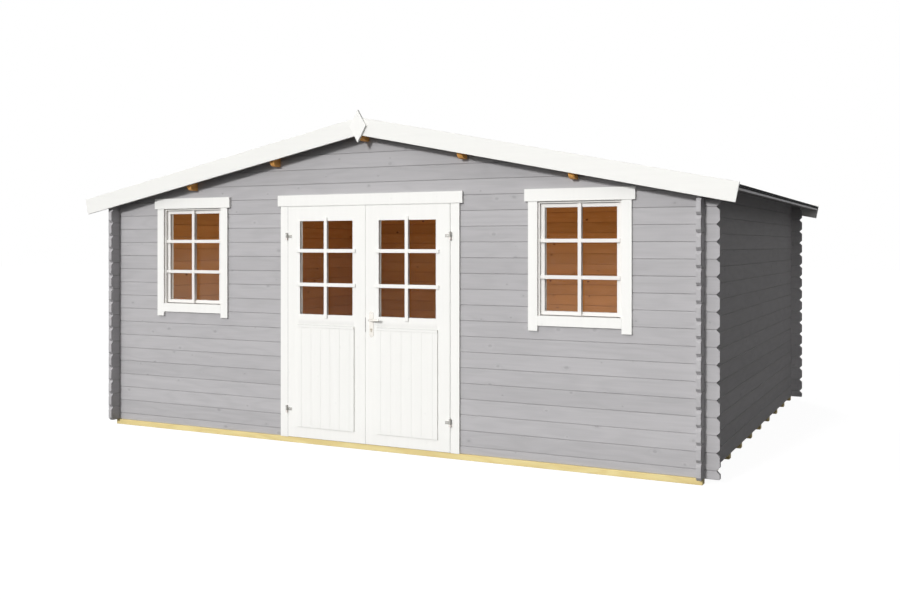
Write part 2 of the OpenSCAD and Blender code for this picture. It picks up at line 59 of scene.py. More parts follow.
wall_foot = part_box("left_wall")[0].z
half_width = -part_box("left_wall")[0].x
half_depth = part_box("rear_wall")[1].y
roof_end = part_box("right_roof_boards")[1].y
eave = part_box("right_roof_boards")[1].x
slope = math.tan(ROOF_ANGLE)
board_rise = ROOF_BOARD_THICKNESS / math.cos(ROOF_ANGLE)
ridge_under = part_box("right_roof_boards")[1].z - board_rise
roof_board = 2 * roof_end / ROOF_BOARDS
floor_low, floor_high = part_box("floor")
floor_board = (floor_high.x - floor_low.x) / FLOOR_BOARDS

# a door leaf; the two are mirrored, and these are the right one's
LIGHT_SIDE = 0.1195              # from a leaf's long edges, and its head, to its glass
LIGHT_FOOT = 1.027               # from the wall's foot to the lower edge of the glass
PANEL_SIDE = 0.102               # from a leaf's long edges to its panel
PANEL_FOOT = 0.090               # from a leaf's foot to its panel
PANEL_TOP = 0.085                # rail between the panel and the glass
PANEL_PROUD = 0.008              # the raised panel in front of the leaf
DRIP_PROUD = 0.007               # and the drip strip in front of that panel
DRIP_HEIGHT = 0.022
LEAF_GAP = 0.005                 # between a leaf and its frame

leaf_low, leaf_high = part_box("right_door")
leaf_face = leaf_low.y + PANEL_PROUD + DRIP_PROUD
leaf_back = leaf_high.y
panel_top = wall_foot + LIGHT_FOOT - PANEL_TOP
panel_middle = (leaf_low.x + leaf_high.x) / 2
panel_reach = (leaf_high.x - leaf_low.x) / 2 - PANEL_SIDE    # half its width
jamb = leaf_high.x + LEAF_GAP    # half the clear width of the door's frame
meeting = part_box("left_door")[1].x    # the left leaf's edge, where the two meet


# ---------- node trees ----------

class Finish:
    """A node tree in the making: each call adds nodes and gives back what they put out."""

    def __init__(self, tree):
        self.tree = tree

    def node(self, kind, inputs, out=0, **settings):
        made = self.tree.nodes.new(kind)
        for name, value in settings.items():
            setattr(made, name, value)
        for name, value in inputs.items():
            self.feed(made.inputs[name], value)
        return made.outputs[out]

    def feed(self, socket, value):
        if isinstance(value, bpy.types.NodeSocket):
            self.tree.links.new(value, socket)
        else:
            socket.default_value = value

    def work(self, operation, a, b=0.0):
        return self.node("ShaderNodeMath", {0: a, 1: b}, operation=operation)

    def plus(self, total, *others):
        for value in others:
            total = self.work("ADD", total, value)
        return total

    def minus(self, a, b):
        return self.work("SUBTRACT", a, b)

    def times(self, a, b):
        return self.work("MULTIPLY", a, b)

    def over(self, a, b):
        return self.work("DIVIDE", a, b)

    def unsigned(self, value):
        return self.work("ABSOLUTE", value)

    def swing(self, value, width):
        """Turns a value from 0 to 1 into a swing to either side of nothing, this wide in all."""
        return self.times(self.minus(value, 0.5), width)

    def span(self, value, low, high, to_low=0.0, to_high=1.0):
        return self.node("ShaderNodeMapRange",
                         {0: value, 1: low, 2: high, 3: to_low, 4: to_high},
                         interpolation_type="SMOOTHSTEP")

    def mix(self, share, a, b, blend_type="MIX"):
        return self.node("ShaderNodeMix", {0: share, 6: a, 7: b}, out=2,
                         data_type="RGBA", blend_type=blend_type)

    def dim(self, colour, value):
        """The colour times a plain value."""
        grey = self.node("ShaderNodeCombineColor", {0: value, 1: value, 2: value})
        return self.mix(1.0, colour, grey, "MULTIPLY")

    def scaled(self, vector, x, y, z):
        return self.node("ShaderNodeVectorMath", {0: vector, 1: (x, y, z)}, operation="MULTIPLY")

    def split(self, vector):
        made = self.tree.nodes.new("ShaderNodeSeparateXYZ")
        self.feed(made.inputs[0], vector)
        return made.outputs[0], made.outputs[1], made.outputs[2]

    def point(self, x, y, z):
        return self.node("ShaderNodeCombineXYZ", {0: x, 1: y, 2: z})

    def noise(self, vector, scale, detail, roughness=0.5):
        return self.node("ShaderNodeTexNoise", {"Vector": vector, "Scale": scale,
                                                "Detail": detail, "Roughness": roughness})

    def place(self, group, inputs):
        """Places a shared effect and gives back all its outputs by name."""
        made = self.tree.nodes.new("ShaderNodeGroup")
        made.node_tree = group
        for name, value in inputs.items():
            self.feed(made.inputs[name], value)
        return made.outputs


def effect(name, inputs, outputs):
    """A shared effect: its tree, what it takes by name and what it gives. None stands for a vector."""
    tree = bpy.data.node_groups.new(name, "ShaderNodeTree")
    for label, value in inputs.items():
        kind = "NodeSocketVector" if value is None else "NodeSocketFloat"
        socket = tree.interface.new_socket(name=label, in_out="INPUT", socket_type=kind)
        if value is not None:
            socket.default_value = value
    for label in outputs:
        tree.interface.new_socket(name=label, in_out="OUTPUT", socket_type="NodeSocketFloat")
    take = tree.nodes.new("NodeGroupInput").outputs
    give = tree.nodes.new("NodeGroupOutput").inputs
    return Finish(tree), take, give


def make_board_rows():
    """Splits a length into rows of boards: which board, where across it, two chance values of its
    own, and how near the joint to its neighbour."""
    f, take, give = effect("board_rows", {"Across": 0.0, "Pitch": 0.1, "Foot": 0.0},
                           ["Number", "Local", "Chance", "Other Chance", "Joint"])
    rows = f.over(f.minus(take["Across"], take["Foot"]), take["Pitch"])
    number = f.work("FLOOR", rows)
    from_middle = f.minus(f.minus(rows, number), 0.5)
    f.feed(give["Number"], number)
    f.feed(give["Local"], f.times(from_middle, take["Pitch"]))
    for label, seed in (("Chance", 0.0), ("Other Chance", 41.7)):
        f.feed(give[label], f.node("ShaderNodeTexWhiteNoise", {"W": f.plus(number, seed)},
                                   noise_dimensions="1D"))
    from_edge = f.times(f.minus(0.5, f.unsigned(from_middle)), take["Pitch"])
    f.feed(give["Joint"], f.span(from_edge, 0.0, 0.007, 1.0, 0.0))
    return f.tree


def make_wood_grain():
    """Growth rings, fibre and knots of a sawn softwood board that runs along x, its face to y."""
    f, take, give = effect("wood_grain",
                           {"Vector": None, "Seed": 0.0, "Pith": 0.045, "Ring Gap": 0.010,
                            "Knot Share": 0.3, "Knot Size": 0.07},
                           ["Ring", "Fibre", "Knot", "Halo", "Streak"])
    x, y, z = f.split(take["Vector"])
    x = f.plus(x, f.times(take["Seed"], 23.7))
    seeded = f.times(take["Seed"], 5.3)
    run = f.point(x, y, f.plus(z, seeded))
    # knots: the board's face is cut into cells, and some cells have a knot
    cells = f.scaled(f.point(x, f.plus(z, y, seeded), 0.0), 4.2, 6.2, 1.0)
    knots = f.tree.nodes.new("ShaderNodeTexVoronoi")
    knots.voronoi_dimensions = "2D"
    for name, value in (("Vector", cells), ("Scale", 1.0), ("Randomness", 0.9)):
        f.feed(knots.inputs[name], value)
    pick, size, _ = f.split(knots.outputs["Color"])
    chosen = f.work("LESS_THAN", pick, take["Knot Share"])
    wobble = f.swing(f.noise(f.scaled(run, 60, 60, 60), 1.0, 1.0), 0.06)
    reach = f.times(take["Knot Size"], f.plus(f.times(size, 0.9), 0.35))
    near = f.over(f.plus(knots.outputs["Distance"], wobble), reach)
    knot = f.times(f.span(near, 0.6, 1.2, 1.0, 0.0), chosen)
    own_rings = f.plus(0.82, f.times(f.work("SINE", f.times(near, 16.0)), 0.18))
    halo = f.times(f.span(near, 0.9, 3.2, 1.0, 0.0), chosen)
    # rings: distance from the pith, bent by slow waves along the board and round each knot
    away = f.work("SQRT", f.plus(f.work("POWER", f.plus(y, take["Pith"]), 2.0),
                                 f.work("POWER", z, 2.0)))
    wave = f.swing(f.noise(f.scaled(run, 1.1, 3.0, 5.0), 1.0, 2.0), 0.075)
    rings = f.over(f.plus(away, wave, f.times(halo, 0.006)), take["Ring Gap"])
    ripple = f.work("SINE", f.times(rings, 2 * math.pi))
    f.feed(give["Ring"], f.work("POWER", f.plus(f.times(ripple, 0.5), 0.5), 1.6))
    f.feed(give["Fibre"], f.noise(f.scaled(run, 5.0, 120.0, 120.0), 1.0, 4.0, 0.65))
    f.feed(give["Streak"], f.noise(f.scaled(run, 1.6, 34.0, 34.0), 1.0, 3.0, 0.55))
    f.feed(give["Knot"], f.times(knot, own_rings))
    f.feed(give["Halo"], halo)
    return f.tree


def make_weathering():
    """Slow stains, fine specks, and the splash and dust that gather low down."""
    f, take, give = effect("weathering",
                           {"Vector": None, "Stain Scale": 1.5, "Splash Height": 0.35},
                           ["Stain", "Speck", "Splash"])
    f.feed(give["Stain"], f.noise(take["Vector"], take["Stain Scale"], 4.0, 0.6))
    f.feed(give["Speck"], f.noise(take["Vector"], 420.0, 2.0, 0.7))
    _, _, z = f.split(take["Vector"])
    ragged = f.plus(z, f.times(f.noise(take["Vector"], 9.0, 3.0), -0.12))
    f.feed(give["Splash"], f.span(ragged, -0.05, take["Splash Height"], 1.0, 0.0))
    return f.tree


board_rows = make_board_rows()
wood_grain = make_wood_grain()
weathering = make_weathering()


def start(name):
    """A new material: its tree, its Principled shader and the object's own coordinates."""
    material = bpy.data.materials.new(name)
    material.use_nodes = True
    f = Finish(material.node_tree)
    shader = next(n for n in f.tree.nodes if n.type == "BSDF_PRINCIPLED")
    return material, f, shader, f.node("ShaderNodeTexCoord", {}, "Object")


# which of x, y and z goes along the grain, through the board and across its width
GRAIN = {"x": (0, 1, 2), "y": (1, 0, 2), "z": (2, 1, 0), "floor": (1, 2, 0), "rafter": (0, 2, 1)}


def turned(f, vector, grain):
    """Coordinates with the grain along x and the width of the board along z."""
    axes = f.split(vector)
    return f.point(*(axes[number] for number in GRAIN[grain]))


def bumped(f, shader, height, distance, strength=1.0):
    f.feed(shader.inputs["Normal"], f.node("ShaderNodeBump", {"Strength": strength,
                                                              "Distance": distance,
                                                              "Height": height}))


# ---------- finishes ----------

GREY_STAIN = (0.470, 0.459, 0.468, 1)
RAW_PINE = (0.55, 0.265, 0.085, 1)
PINE_LATEWOOD = (0.40, 0.165, 0.045, 1)
PINE_KNOT = (0.11, 0.035, 0.012, 1)
WHITE_PAINT = (0.885, 0.879, 0.850, 1)
FELT_BLACK = (0.010, 0.010, 0.011, 1)
FILM_FOOT, FILM_TOP = 0.85, 1.75     # of the dried rain on the panes, above the wall's foot
FINE_BRUSHED = 2400.0


def indoors(f, here):
    """1 indoors and 0 outdoors; the change is in the middle of the walls' thickness."""
    x, y, _ = f.split(here)
    inward_x = f.minus(half_width - LOG_THICKNESS / 2, f.unsigned(x))
    inward_y = f.minus(half_depth - LOG_THICKNESS / 2, f.unsigned(y))
    return f.span(f.work("MINIMUM", inward_x, inward_y), -0.001, 0.001)


def log_stain(name, grain, foot):
    """Grey stain on the outer faces of the logs, bare pine inside; rows of logs start at foot."""
    material, f, shader, here = start(name)
    _, _, z = f.split(here)
    row = f.place(board_rows, {"Across": z, "Pitch": LOG_PITCH, "Foot": foot})
    along, face, _ = f.split(turned(f, here, grain))
    wood = f.place(wood_grain, {"Vector": f.point(along, f.times(face, 0.25), row["Local"]),
                                "Seed": row["Number"], "Knot Share": 0.5, "Knot Size": 0.066,
                                "Ring Gap": 0.012})
    worn = f.place(weathering, {"Vector": here, "Stain Scale": 1.3})
    # outside: grey stain that lets rings and knots show
    tone = f.plus(0.955, f.times(row["Chance"], 0.07), f.times(wood["Ring"], -0.045),
                  f.swing(wood["Streak"], 0.13), f.swing(wood["Fibre"], 0.13),
                  f.swing(worn["Stain"], 0.06), f.times(wood["Knot"], -0.18),
                  f.times(row["Joint"], -0.10), f.times(worn["Splash"], -0.03))
    outside = f.dim(GREY_STAIN, tone)
    # inside: bare wood
    bare = f.mix(f.times(wood["Ring"], 0.22), RAW_PINE, PINE_LATEWOOD)
    bare = f.mix(f.times(f.span(wood["Streak"], 0.45, 0.75), 0.25), bare, PINE_LATEWOOD)
    bare = f.mix(wood["Knot"], bare, PINE_KNOT)
    bare = f.dim(bare, f.plus(0.92, f.times(row["Other Chance"], 0.14)))
    bare = f.dim(bare, f.plus(1.0, f.times(row["Joint"], -0.2)))
    f.feed(shader.inputs["Base Color"], f.mix(indoors(f, here), outside, bare))
    f.feed(shader.inputs["Roughness"], f.plus(0.62, f.times(wood["Fibre"], 0.2)))
    shader.inputs["Specular IOR Level"].default_value = 0.06
    bumped(f, shader, f.plus(f.times(wood["Fibre"], 0.5), f.times(wood["Ring"], 0.35),
                             f.times(wood["Halo"], -0.1)), 0.0007)
    return material


def corner_painted_shade(f, here, height, middle, reach):
    """Painted shade in the corner over a ledge on each leaf: 1 at the ledge's height, 0 a little above
    it.
    The ledge's middle lies this far to either side of the cabin's, and it reaches half its length
    each way."""
    x, _, z = f.split(here)
    from_end = f.minus(reach, f.unsigned(f.minus(f.unsigned(x), middle)))
    # the share of painted shade in the corner, darkest at the ledge
    dust = f.times(f.span(z, height, height + 0.060, 1.0, 0.0), f.span(from_end, -0.004, 0.012))
    return f.times(dust, f.work("GREATER_THAN", z, height - 0.006))


def painted_timber(name, grain, colour=WHITE_PAINT, ledge=None):
    """Satin paint over planed wood: faint grain and brush marks, painted shade on faces that look up
    and in the corner over a ledge, and some grime low down."""
    material, f, shader, here = start(name)
    wood = f.place(wood_grain, {"Vector": turned(f, here, grain), "Seed": 3.0, "Pith": 0.4,
                                "Ring Gap": 0.008, "Knot Share": 0.16, "Knot Size": 0.05})
    worn = f.place(weathering, {"Vector": here, "Stain Scale": 2.2, "Splash Height": 0.22})
    _, _, upward = f.split(f.node("ShaderNodeTexCoord", {}, "Normal"))
    # faces that look up are made darker: painted shade
    tone = f.plus(0.985, f.swing(wood["Streak"], 0.05), f.swing(worn["Stain"], 0.025),
                  f.times(wood["Knot"], -0.035), f.times(worn["Splash"], -0.025),
                  f.times(f.span(upward, 0.5, 0.85), -0.25))
    if ledge:
        # painted shade in the corner over the ledge
        tone = f.plus(tone, f.times(corner_painted_shade(f, here, *ledge), -0.14))
    f.feed(shader.inputs["Base Color"], f.dim(colour, tone))
    f.feed(shader.inputs["Roughness"], f.plus(0.40, f.times(wood["Fibre"], 0.18)))
    shader.inputs["Specular IOR Level"].default_value = 0.35
    bumped(f, shader, f.plus(f.times(wood["Fibre"], 0.6), f.times(wood["Ring"], 0.25)), 0.0004)
    return material


def bare_timber(name, grain, light, dark, knot, contrast, pitch=0.0, foot=0.0, outdoors=None):
    """Planed or sawn wood, in rows where a pitch is given; where a colour is given for outdoors, it is
    dark outside the walls, a stain and painted shade of the soffit together."""
    material, f, shader, here = start(name)
    along, face, across = f.split(turned(f, here, grain))
    seed, tone = 7.0, 1.0
    if pitch:
        row = f.place(board_rows, {"Across": across, "Pitch": pitch, "Foot": foot})
        across, seed = row["Local"], row["Number"]
        tone = f.plus(0.82, f.times(row["Chance"], 0.3))
    wood = f.place(wood_grain, {"Vector": f.point(along, face, across), "Seed": seed,
                                "Knot Share": 0.35, "Ring Gap": 0.009})
    worn = f.place(weathering, {"Vector": here, "Stain Scale": 3.0})
    colour = f.mix(f.times(wood["Ring"], contrast), light, dark)
    colour = f.mix(f.times(f.span(wood["Streak"], 0.4, 0.8), contrast), colour, dark)
    colour = f.mix(f.times(wood["Knot"], 0.85), colour, knot)
    # outside the walls: a dark stain that is also painted shade under the eaves
    if outdoors:
        stain_and_shade = f.dim(outdoors, f.plus(1.0, f.times(wood["Ring"], -0.12)))
        colour = f.mix(indoors(f, here), stain_and_shade, colour)
    colour = f.dim(colour, tone)
    colour = f.dim(colour, f.plus(0.92, f.times(worn["Stain"], 0.16)))
    f.feed(shader.inputs["Base Color"], colour)
    f.feed(shader.inputs["Roughness"], f.plus(0.58, f.times(wood["Fibre"], 0.25)))
    shader.inputs["Specular IOR Level"].default_value = 0.3
    bumped(f, shader, f.plus(f.times(wood["Fibre"], 0.6), f.times(wood["Ring"], 0.3)), 0.0006)
    return material


def roofing_felt(name):
    """Black bitumen felt with mineral grit, paler where the grit has rubbed off."""
    material, f, shader, here = start(name)
    worn = f.place(weathering, {"Vector": here, "Stain Scale": 1.7})
    grit = f.node("ShaderNodeTexVoronoi", {"Vector": here, "Scale": 620.0})
    tone = f.plus(0.6, f.times(worn["Stain"], 0.7),
                  f.times(f.span(worn["Speck"], 0.55, 0.75), 1.1))
    f.feed(shader.inputs["Base Color"], f.dim(FELT_BLACK, tone))
    f.feed(shader.inputs["Roughness"], f.plus(0.78, f.times(worn["Speck"], 0.2)))
    shader.inputs["Specular IOR Level"].default_value = 0.06
    bumped(f, shader, f.plus(f.times(grit, 0.6), f.times(worn["Stain"], 0.4)), 0.0012)
    return material


def satin_metal(name, colour, roughness, grain="z", brushed=1040.0):
    """Brushed and lightly handled metal, with about this many brush marks to a metre."""
    material, f, shader, here = start(name)
    lines = f.noise(f.scaled(turned(f, here, grain), 12.0, brushed, brushed), 1.0, 3.0, 0.6)
    worn = f.place(weathering, {"Vector": here, "Stain Scale": 28.0})
    tone = f.plus(0.9, f.times(lines, 0.1), f.times(worn["Stain"], 0.08))
    f.feed(shader.inputs["Base Color"], f.dim(colour, tone))
    f.feed(shader.inputs["Roughness"],
           f.plus(roughness, f.times(lines, 0.12), f.times(worn["Stain"], 0.1)))
    shader.inputs["Metallic"].default_value = 1.0
    bumped(f, shader, lines, 0.00006)
    return material


def pane_glass(name, film):
    """Clear float glass with a trace of dust, and a film of dried rain that shines low down."""
    material, f, shader, here = start(name)
    worn = f.place(weathering, {"Vector": here, "Stain Scale": 2.5})
    clear = f.mix(f.span(worn["Stain"], 0.3, 0.8), (0.97, 0.98, 0.97, 1), (0.90, 0.925, 0.91, 1))
    f.feed(shader.inputs["Base Color"], clear)
    f.feed(shader.inputs["Roughness"], f.times(f.span(worn["Speck"], 0.6, 0.8), 0.02))
    _, _, z = f.split(here)
    ragged = f.plus(z, f.swing(worn["Stain"], 0.1))
    f.feed(shader.inputs["Coat Weight"],
           f.span(ragged, wall_foot + FILM_FOOT, wall_foot + FILM_TOP, film, 0.0))
    shader.inputs["Transmission Weight"].default_value = 1.0
    shader.inputs["IOR"].default_value = 1.03
    shader.inputs["Specular IOR Level"].default_value = 0.15
    bumped(f, shader, worn["Stain"], 0.0001, 0.3)
    return material


front_logs = log_stain("front_log_stain", "x", wall_foot - LOG_PITCH / 2)
side_logs = log_stain("side_log_stain", "y", wall_foot)
white_upright = painted_timber("white_upright", "z")
# a dimmer copy of the white paint for the fascias: painted shade that holds the well-lit boards to the
# other paint's tone
white_fascia = painted_timber("white_fascia", "x", (0.842, 0.838, 0.808, 1))
# a darker, warmer white for the windows' frames, sashes and bars: partly their paint, partly painted
# shade of the recess
window_paint_and_shade = painted_timber("window_paint_and_shade", "z", (0.835, 0.815, 0.785, 1))
white_leaf = painted_timber("white_leaf", "z", ledge=(panel_top, panel_middle, panel_reach))
white_boards = painted_timber("white_panel_boards", "z", (0.880, 0.875, 0.846, 1))
white_rubber = painted_timber("white_seal", "z", (0.86, 0.86, 0.84, 1))
# grey for the left jamb's lip: painted shade of the gap beside the left leaf
grey_rubber_painted_shade = painted_timber("grey_seal_painted_shade", "z", (0.30, 0.30, 0.29, 1))
grey_batten = painted_timber("grey_batten", "y", (0.44, 0.43, 0.45, 1))
bearer_wood = bare_timber("bearer_wood", "x", (0.77, 0.645, 0.31, 1), (0.64, 0.47, 0.18, 1),
                          (0.33, 0.19, 0.06, 1), 0.35)
purlin_wood = bare_timber("purlin_wood", "y", (0.97, 0.49, 0.14, 1), (0.85, 0.36, 0.08, 1),
                          (0.16, 0.06, 0.02, 1), 0.45)
floor_wood = bare_timber("floor_wood", "floor", (0.66, 0.45, 0.22, 1), (0.47, 0.26, 0.09, 1),
                         (0.18, 0.07, 0.025, 1), 0.5, pitch=floor_board, foot=floor_low.x)
# outside the walls the roof boards are near black: stain and painted shade under the eaves
roof_wood = bare_timber("roof_wood", "rafter", (0.66, 0.44, 0.21, 1), (0.48, 0.26, 0.09, 1),
                        (0.18, 0.07, 0.025, 1), 0.5, pitch=roof_board, foot=-roof_end,
                        outdoors=(0.09, 0.085, 0.085, 1))
felt = roofing_felt("roofing_felt")
steel = satin_metal("satin_steel", (0.52, 0.50, 0.465, 1), 0.30)
hinge_steel = satin_metal("hinge_steel", (0.30, 0.295, 0.275, 1), 0.45)
pin_steel = satin_metal("pin_steel", (0.56, 0.52, 0.50, 1), 0.5)
# near black for the keep in the gap between the leaves: painted shade of the gap
dark_steel = satin_metal("dark_steel", (0.07, 0.055, 0.045, 1), 0.45)
# near black for the keyways and screw crosses: painted shade of these recesses
painted_recess_shade = satin_metal("painted_recess_shade", (0.05, 0.045, 0.04, 1), 0.45)
cylinder_steel = satin_metal("cylinder_steel", (0.32, 0.29, 0.24, 1), 0.3, "x", FINE_BRUSHED)
zinc = satin_metal("zinc_screw", (0.42, 0.42, 0.42, 1), 0.3, "x", FINE_BRUSHED)
clout = satin_metal("clout_nail", (0.10, 0.10, 0.105, 1), 0.5, "x", FINE_BRUSHED)
window_panes = pane_glass("window_pane_glass", 0.7)
door_panes = pane_glass("door_pane_glass", 0.25)


# ---------- finishes and softened edges on the frame's own nodes ----------

def finish_nodes(material, *names):
    for name in names:
        nodes[name].data.materials.clear()
        nodes[name].data.materials.append(material)


def soften(width, *names):
    """Rounds the sawn edges a little."""
    for name in names:
        join = nodes[name].modifiers.new("join", "WELD")
        join.merge_threshold = 0.00001
        edge = nodes[name].modifiers.new("edge", "BEVEL")
        edge.width = width
        edge.segments = 2
        edge.limit_method = "ANGLE"
        edge.angle_limit = math.radians(40)


fascias = [f"{end}_{side}_fascia" for end in ("front", "rear") for side in ("left", "right")]
finish_nodes(front_logs, "front_wall_left", "front_wall_right", "front_gable",
             "rear_wall", "rear_gable")
finish_nodes(side_logs, "left_wall", "right_wall")
finish_nodes(bearer_wood, "front_bearer", "floor_bearers")
finish_nodes(purlin_wood, "ridge_purlin", "left_purlins", "right_purlins")
finish_nodes(white_fascia, *fascias)
finish_nodes(white_upright, "front_finial", "rear_finial", "door_frame", "door_trim")
finish_nodes(white_leaf, "left_door", "right_door")
finish_nodes(grey_batten, "left_eave_batten", "right_eave_batten")
finish_nodes(felt, "left_roof_felt", "right_roof_felt")
finish_nodes(hinge_steel, "left_hinge_wings", "right_hinge_wings")
finish_nodes(pin_steel, "hinge_pins")
finish_nodes(steel, "handle_plates", "door_lever")
for side in ("left", "right"):
    finish_nodes(white_upright, f"{side}_window_trim")
    finish_nodes(window_paint_and_shade, f"{side}_window_frame", f"{side}_window_sash")
    finish_nodes(window_panes, f"{side}_window_glass")
    finish_nodes(door_panes, f"{side}_door_glass")
soften(0.0015, *fascias, "front_finial", "rear_finial", "door_trim", "left_window_trim",
       "right_window_trim", "left_window_sash", "right_window_sash")
soften(0.003, "front_bearer", "floor_bearers")
soften(0.002, "ridge_purlin", "left_purlins", "right_purlins")


# ---------- making pieces ----------

def block(shape, low, high, edge=0.0, segments=2):
    """A box between two corners, with its edges softened."""
    low, high = Vector(low), Vector(high)
    place = Matrix.LocRotScale((low + high) / 2, None, high - low)
    made = bmesh.ops.create_cube(shape, size=1.0, matrix=place)
    if edge:
        edges = dict.fromkeys(e for v in made["verts"] for e in v.link_edges)
        bmesh.ops.bevel(shape, geom=list(edges), offset=edge, affect="EDGES", segments=segments,
                        profile=0.5, material=-1)


def disc(shape, centre, radius, height, toward, sides, edge=0.0):
    """A short round bar whose axis points toward a direction."""
    turn = Vector((0, 0, 1)).rotation_difference(Vector(toward)).to_matrix().to_4x4()
    made = bmesh.ops.create_cone(shape, cap_ends=True, segments=sides, radius1=radius,
                                 radius2=radius, depth=height,
                                 matrix=Matrix.Translation(Vector(centre)) @ turn)
    if edge:
        rim = dict.fromkeys(e for v in made["verts"] for e in v.link_edges
                            if {len(face.verts) for face in e.link_faces} == {4, sides})
        bmesh.ops.bevel(shape, geom=list(rim), offset=edge, affect="EDGES", segments=2,
                        profile=0.5, material=-1)


def piece(name, shape, material, body, stands_for=(), smooth=False):
    """Turns a finished shape into a named piece that rides on a body."""
    bmesh.ops.recalc_face_normals(shape, faces=shape.faces)
    mesh = bpy.data.meshes.new(name)
    shape.to_mesh(mesh)
    shape.free()
    if smooth:
        mesh.shade_smooth()
        mesh.set_sharp_from_angle(angle=math.radians(35))
    mesh.materials.append(material)
    made = bpy.data.objects.new(name, mesh)
    bpy.context.scene.collection.objects.link(made)
    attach(made, body)
    if stands_for:
        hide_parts(*stands_for)


# ---------- bars of the windows and doors ----------

BAR_EDGE = 0.0025
BAR_HOUSING = 0.0015             # how far a level bar runs into the upright one
BACK_SHORT = 0.001               # the back of a bar stops short of the wood round the pane
GLASS_CLEAR = 0.0005             # between the bars and the pane behind them


def lattice(name, body, left, right, foot, top, face, behind, width, proud, lap, shares, paint):
    """One upright and two level bars over a pane, laid on the wood round it and backed up to the
    glass. The shares say how far up the pane the level bars are."""
    half = width / 2
    middle = (left + right) / 2
    shape = bmesh.new()
    for front, back, over in ((face - proud, face, lap), (face, behind, -BACK_SHORT)):
        block(shape, (middle - half, front, foot - over), (middle + half, back, top + over),
              BAR_EDGE)
        spans = ((left - over, middle - half + BAR_HOUSING),
                 (middle + half - BAR_HOUSING, right + over))
        for share in shares:
            level = foot + (top - foot) * share
            for from_x, to_x in spans:
                block(shape, (from_x, front, level - half), (to_x, back, level + half), BAR_EDGE)
    piece(name, shape, paint, body)


SASH_MEMBER = 0.028              # width of the wood round a sash's pane
for side in ("left", "right"):
    low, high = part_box(f"{side}_window_sash")
    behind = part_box(f"{side}_window_glass")[0].y - GLASS_CLEAR
    lattice(f"{side}_window_bars", "cabin", low.x + SASH_MEMBER, high.x - SASH_MEMBER,
            low.z + SASH_MEMBER, high.z - SASH_MEMBER, low.y, behind,
            width=0.028, proud=0.019, lap=0.0285, shares=(0.328, 0.679), paint=window_paint_and_shade)

for side in ("left", "right"):
    low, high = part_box(f"{side}_door")
    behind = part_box(f"{side}_door_glass")[0].y - GLASS_CLEAR
    lattice(f"{side}_door_bars", f"{side}_leaf", low.x + LIGHT_SIDE, high.x - LIGHT_SIDE,
            wall_foot + LIGHT_FOOT, high.z - LIGHT_SIDE, leaf_face, behind,
            width=0.030, proud=0.010, lap=0.030, shares=(0.319, 0.681), paint=white_upright)


# ---------- boards in the lower door panels ----------

PANEL_BOARD = 0.0925             # cover width of one board; those at the sides are cut narrower
BOARD_JOINTS = 6
BOARDS_PROUD = 0.011             # in front of the leaf
BOARD_JOINT = 0.0002             # half the joint between two boards
RECESS = 0.010                   # the panel's sinking on the room side
for side in ("left", "right"):
    low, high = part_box(f"{side}_door")
    left, right, foot = low.x + PANEL_SIDE, high.x - PANEL_SIDE, low.z + PANEL_FOOT
    joints = [(left + right) / 2 + (number - (BOARD_JOINTS - 1) / 2) * PANEL_BOARD
              for number in range(BOARD_JOINTS)]
    shape = bmesh.new()
    for near, far, grow, head in (
            (leaf_face - BOARDS_PROUD, leaf_face, 0.0005, panel_top - DRIP_HEIGHT),
            (leaf_back - RECESS, leaf_back - 0.003, -SEAT, panel_top)):
        sides = [left - grow, *joints, right + grow]
        for from_x, to_x in zip(sides, sides[1:]):
            block(shape, (from_x + BOARD_JOINT, near, foot - grow),
                  (to_x - BOARD_JOINT, far, head - SEAT), edge=0.0010, segments=1)
    piece(f"{side}_door_panel_boards", shape, white_boards, f"{side}_leaf")


# ---------- seals in the gaps round the leaves and sashes ----------

SEAL_WIDTH = 0.0034
SEAL_SET_BACK = 0.003                # from the face of the leaves
SEAL_DEPTH = 0.010
SEAL_EDGE = 0.0008
JAMB_SEAL_BACK = 0.007               # just behind the face of the casing
LIP_WIDTH = 0.0043
LIP_EDGE = 0.0006
LOCK_FOOT, LOCK_TOP = 0.901, 1.017   # the lock's forend, above the wall's foot
HINGE_HEIGHTS = (0.234, 1.670)       # above the wall's foot
HINGE_CLEAR = 0.040                  # from a hinge's middle to the lip's end
SASH_JOINT = 0.003                   # between a sash and its frame, at the sides and the head
SASH_SEAL_BACK = 0.0015

seal_near, seal_far = leaf_face + SEAL_SET_BACK, leaf_face + SEAL_SET_BACK + SEAL_DEPTH
jamb_near = leaf_face + JAMB_SEAL_BACK
shape = bmesh.new()
for sign in (-1, 1):
    from_x, to_x = sorted((sign * (jamb - HAIR), sign * (jamb - SEAL_WIDTH)))
    block(shape, (from_x, jamb_near, leaf_low.z), (to_x, jamb_near + SEAL_DEPTH, leaf_high.z),
          SEAL_EDGE)
block(shape, (-jamb, seal_near, leaf_high.z + LEAF_GAP - SEAL_WIDTH),
      (jamb, seal_far, leaf_high.z + LEAF_GAP - HAIR), SEAL_EDGE)
piece("frame_seals", shape, white_rubber, "cabin")

# the lip of each jamb's seal stands in front of the casing and stops short of the hinges
ends = [leaf_low.z]
for height in HINGE_HEIGHTS:
    ends += [wall_foot + height - HINGE_CLEAR, wall_foot + height + HINGE_CLEAR]
ends.append(leaf_high.z)
# the left lip is grey to paint the gap's shade; the right one is white
for side, sign, rubber in (("left", -1, grey_rubber_painted_shade), ("right", 1, white_rubber)):
    shape = bmesh.new()
    from_x, to_x = sorted((sign * (jamb - 2 * HAIR), sign * (jamb - LIP_WIDTH)))
    for foot, top in zip(ends[::2], ends[1::2]):
        block(shape, (from_x, seal_near, foot), (to_x, jamb_near + 0.0005, top), LIP_EDGE)
    piece(f"{side}_seal_lip", shape, rubber, "cabin")

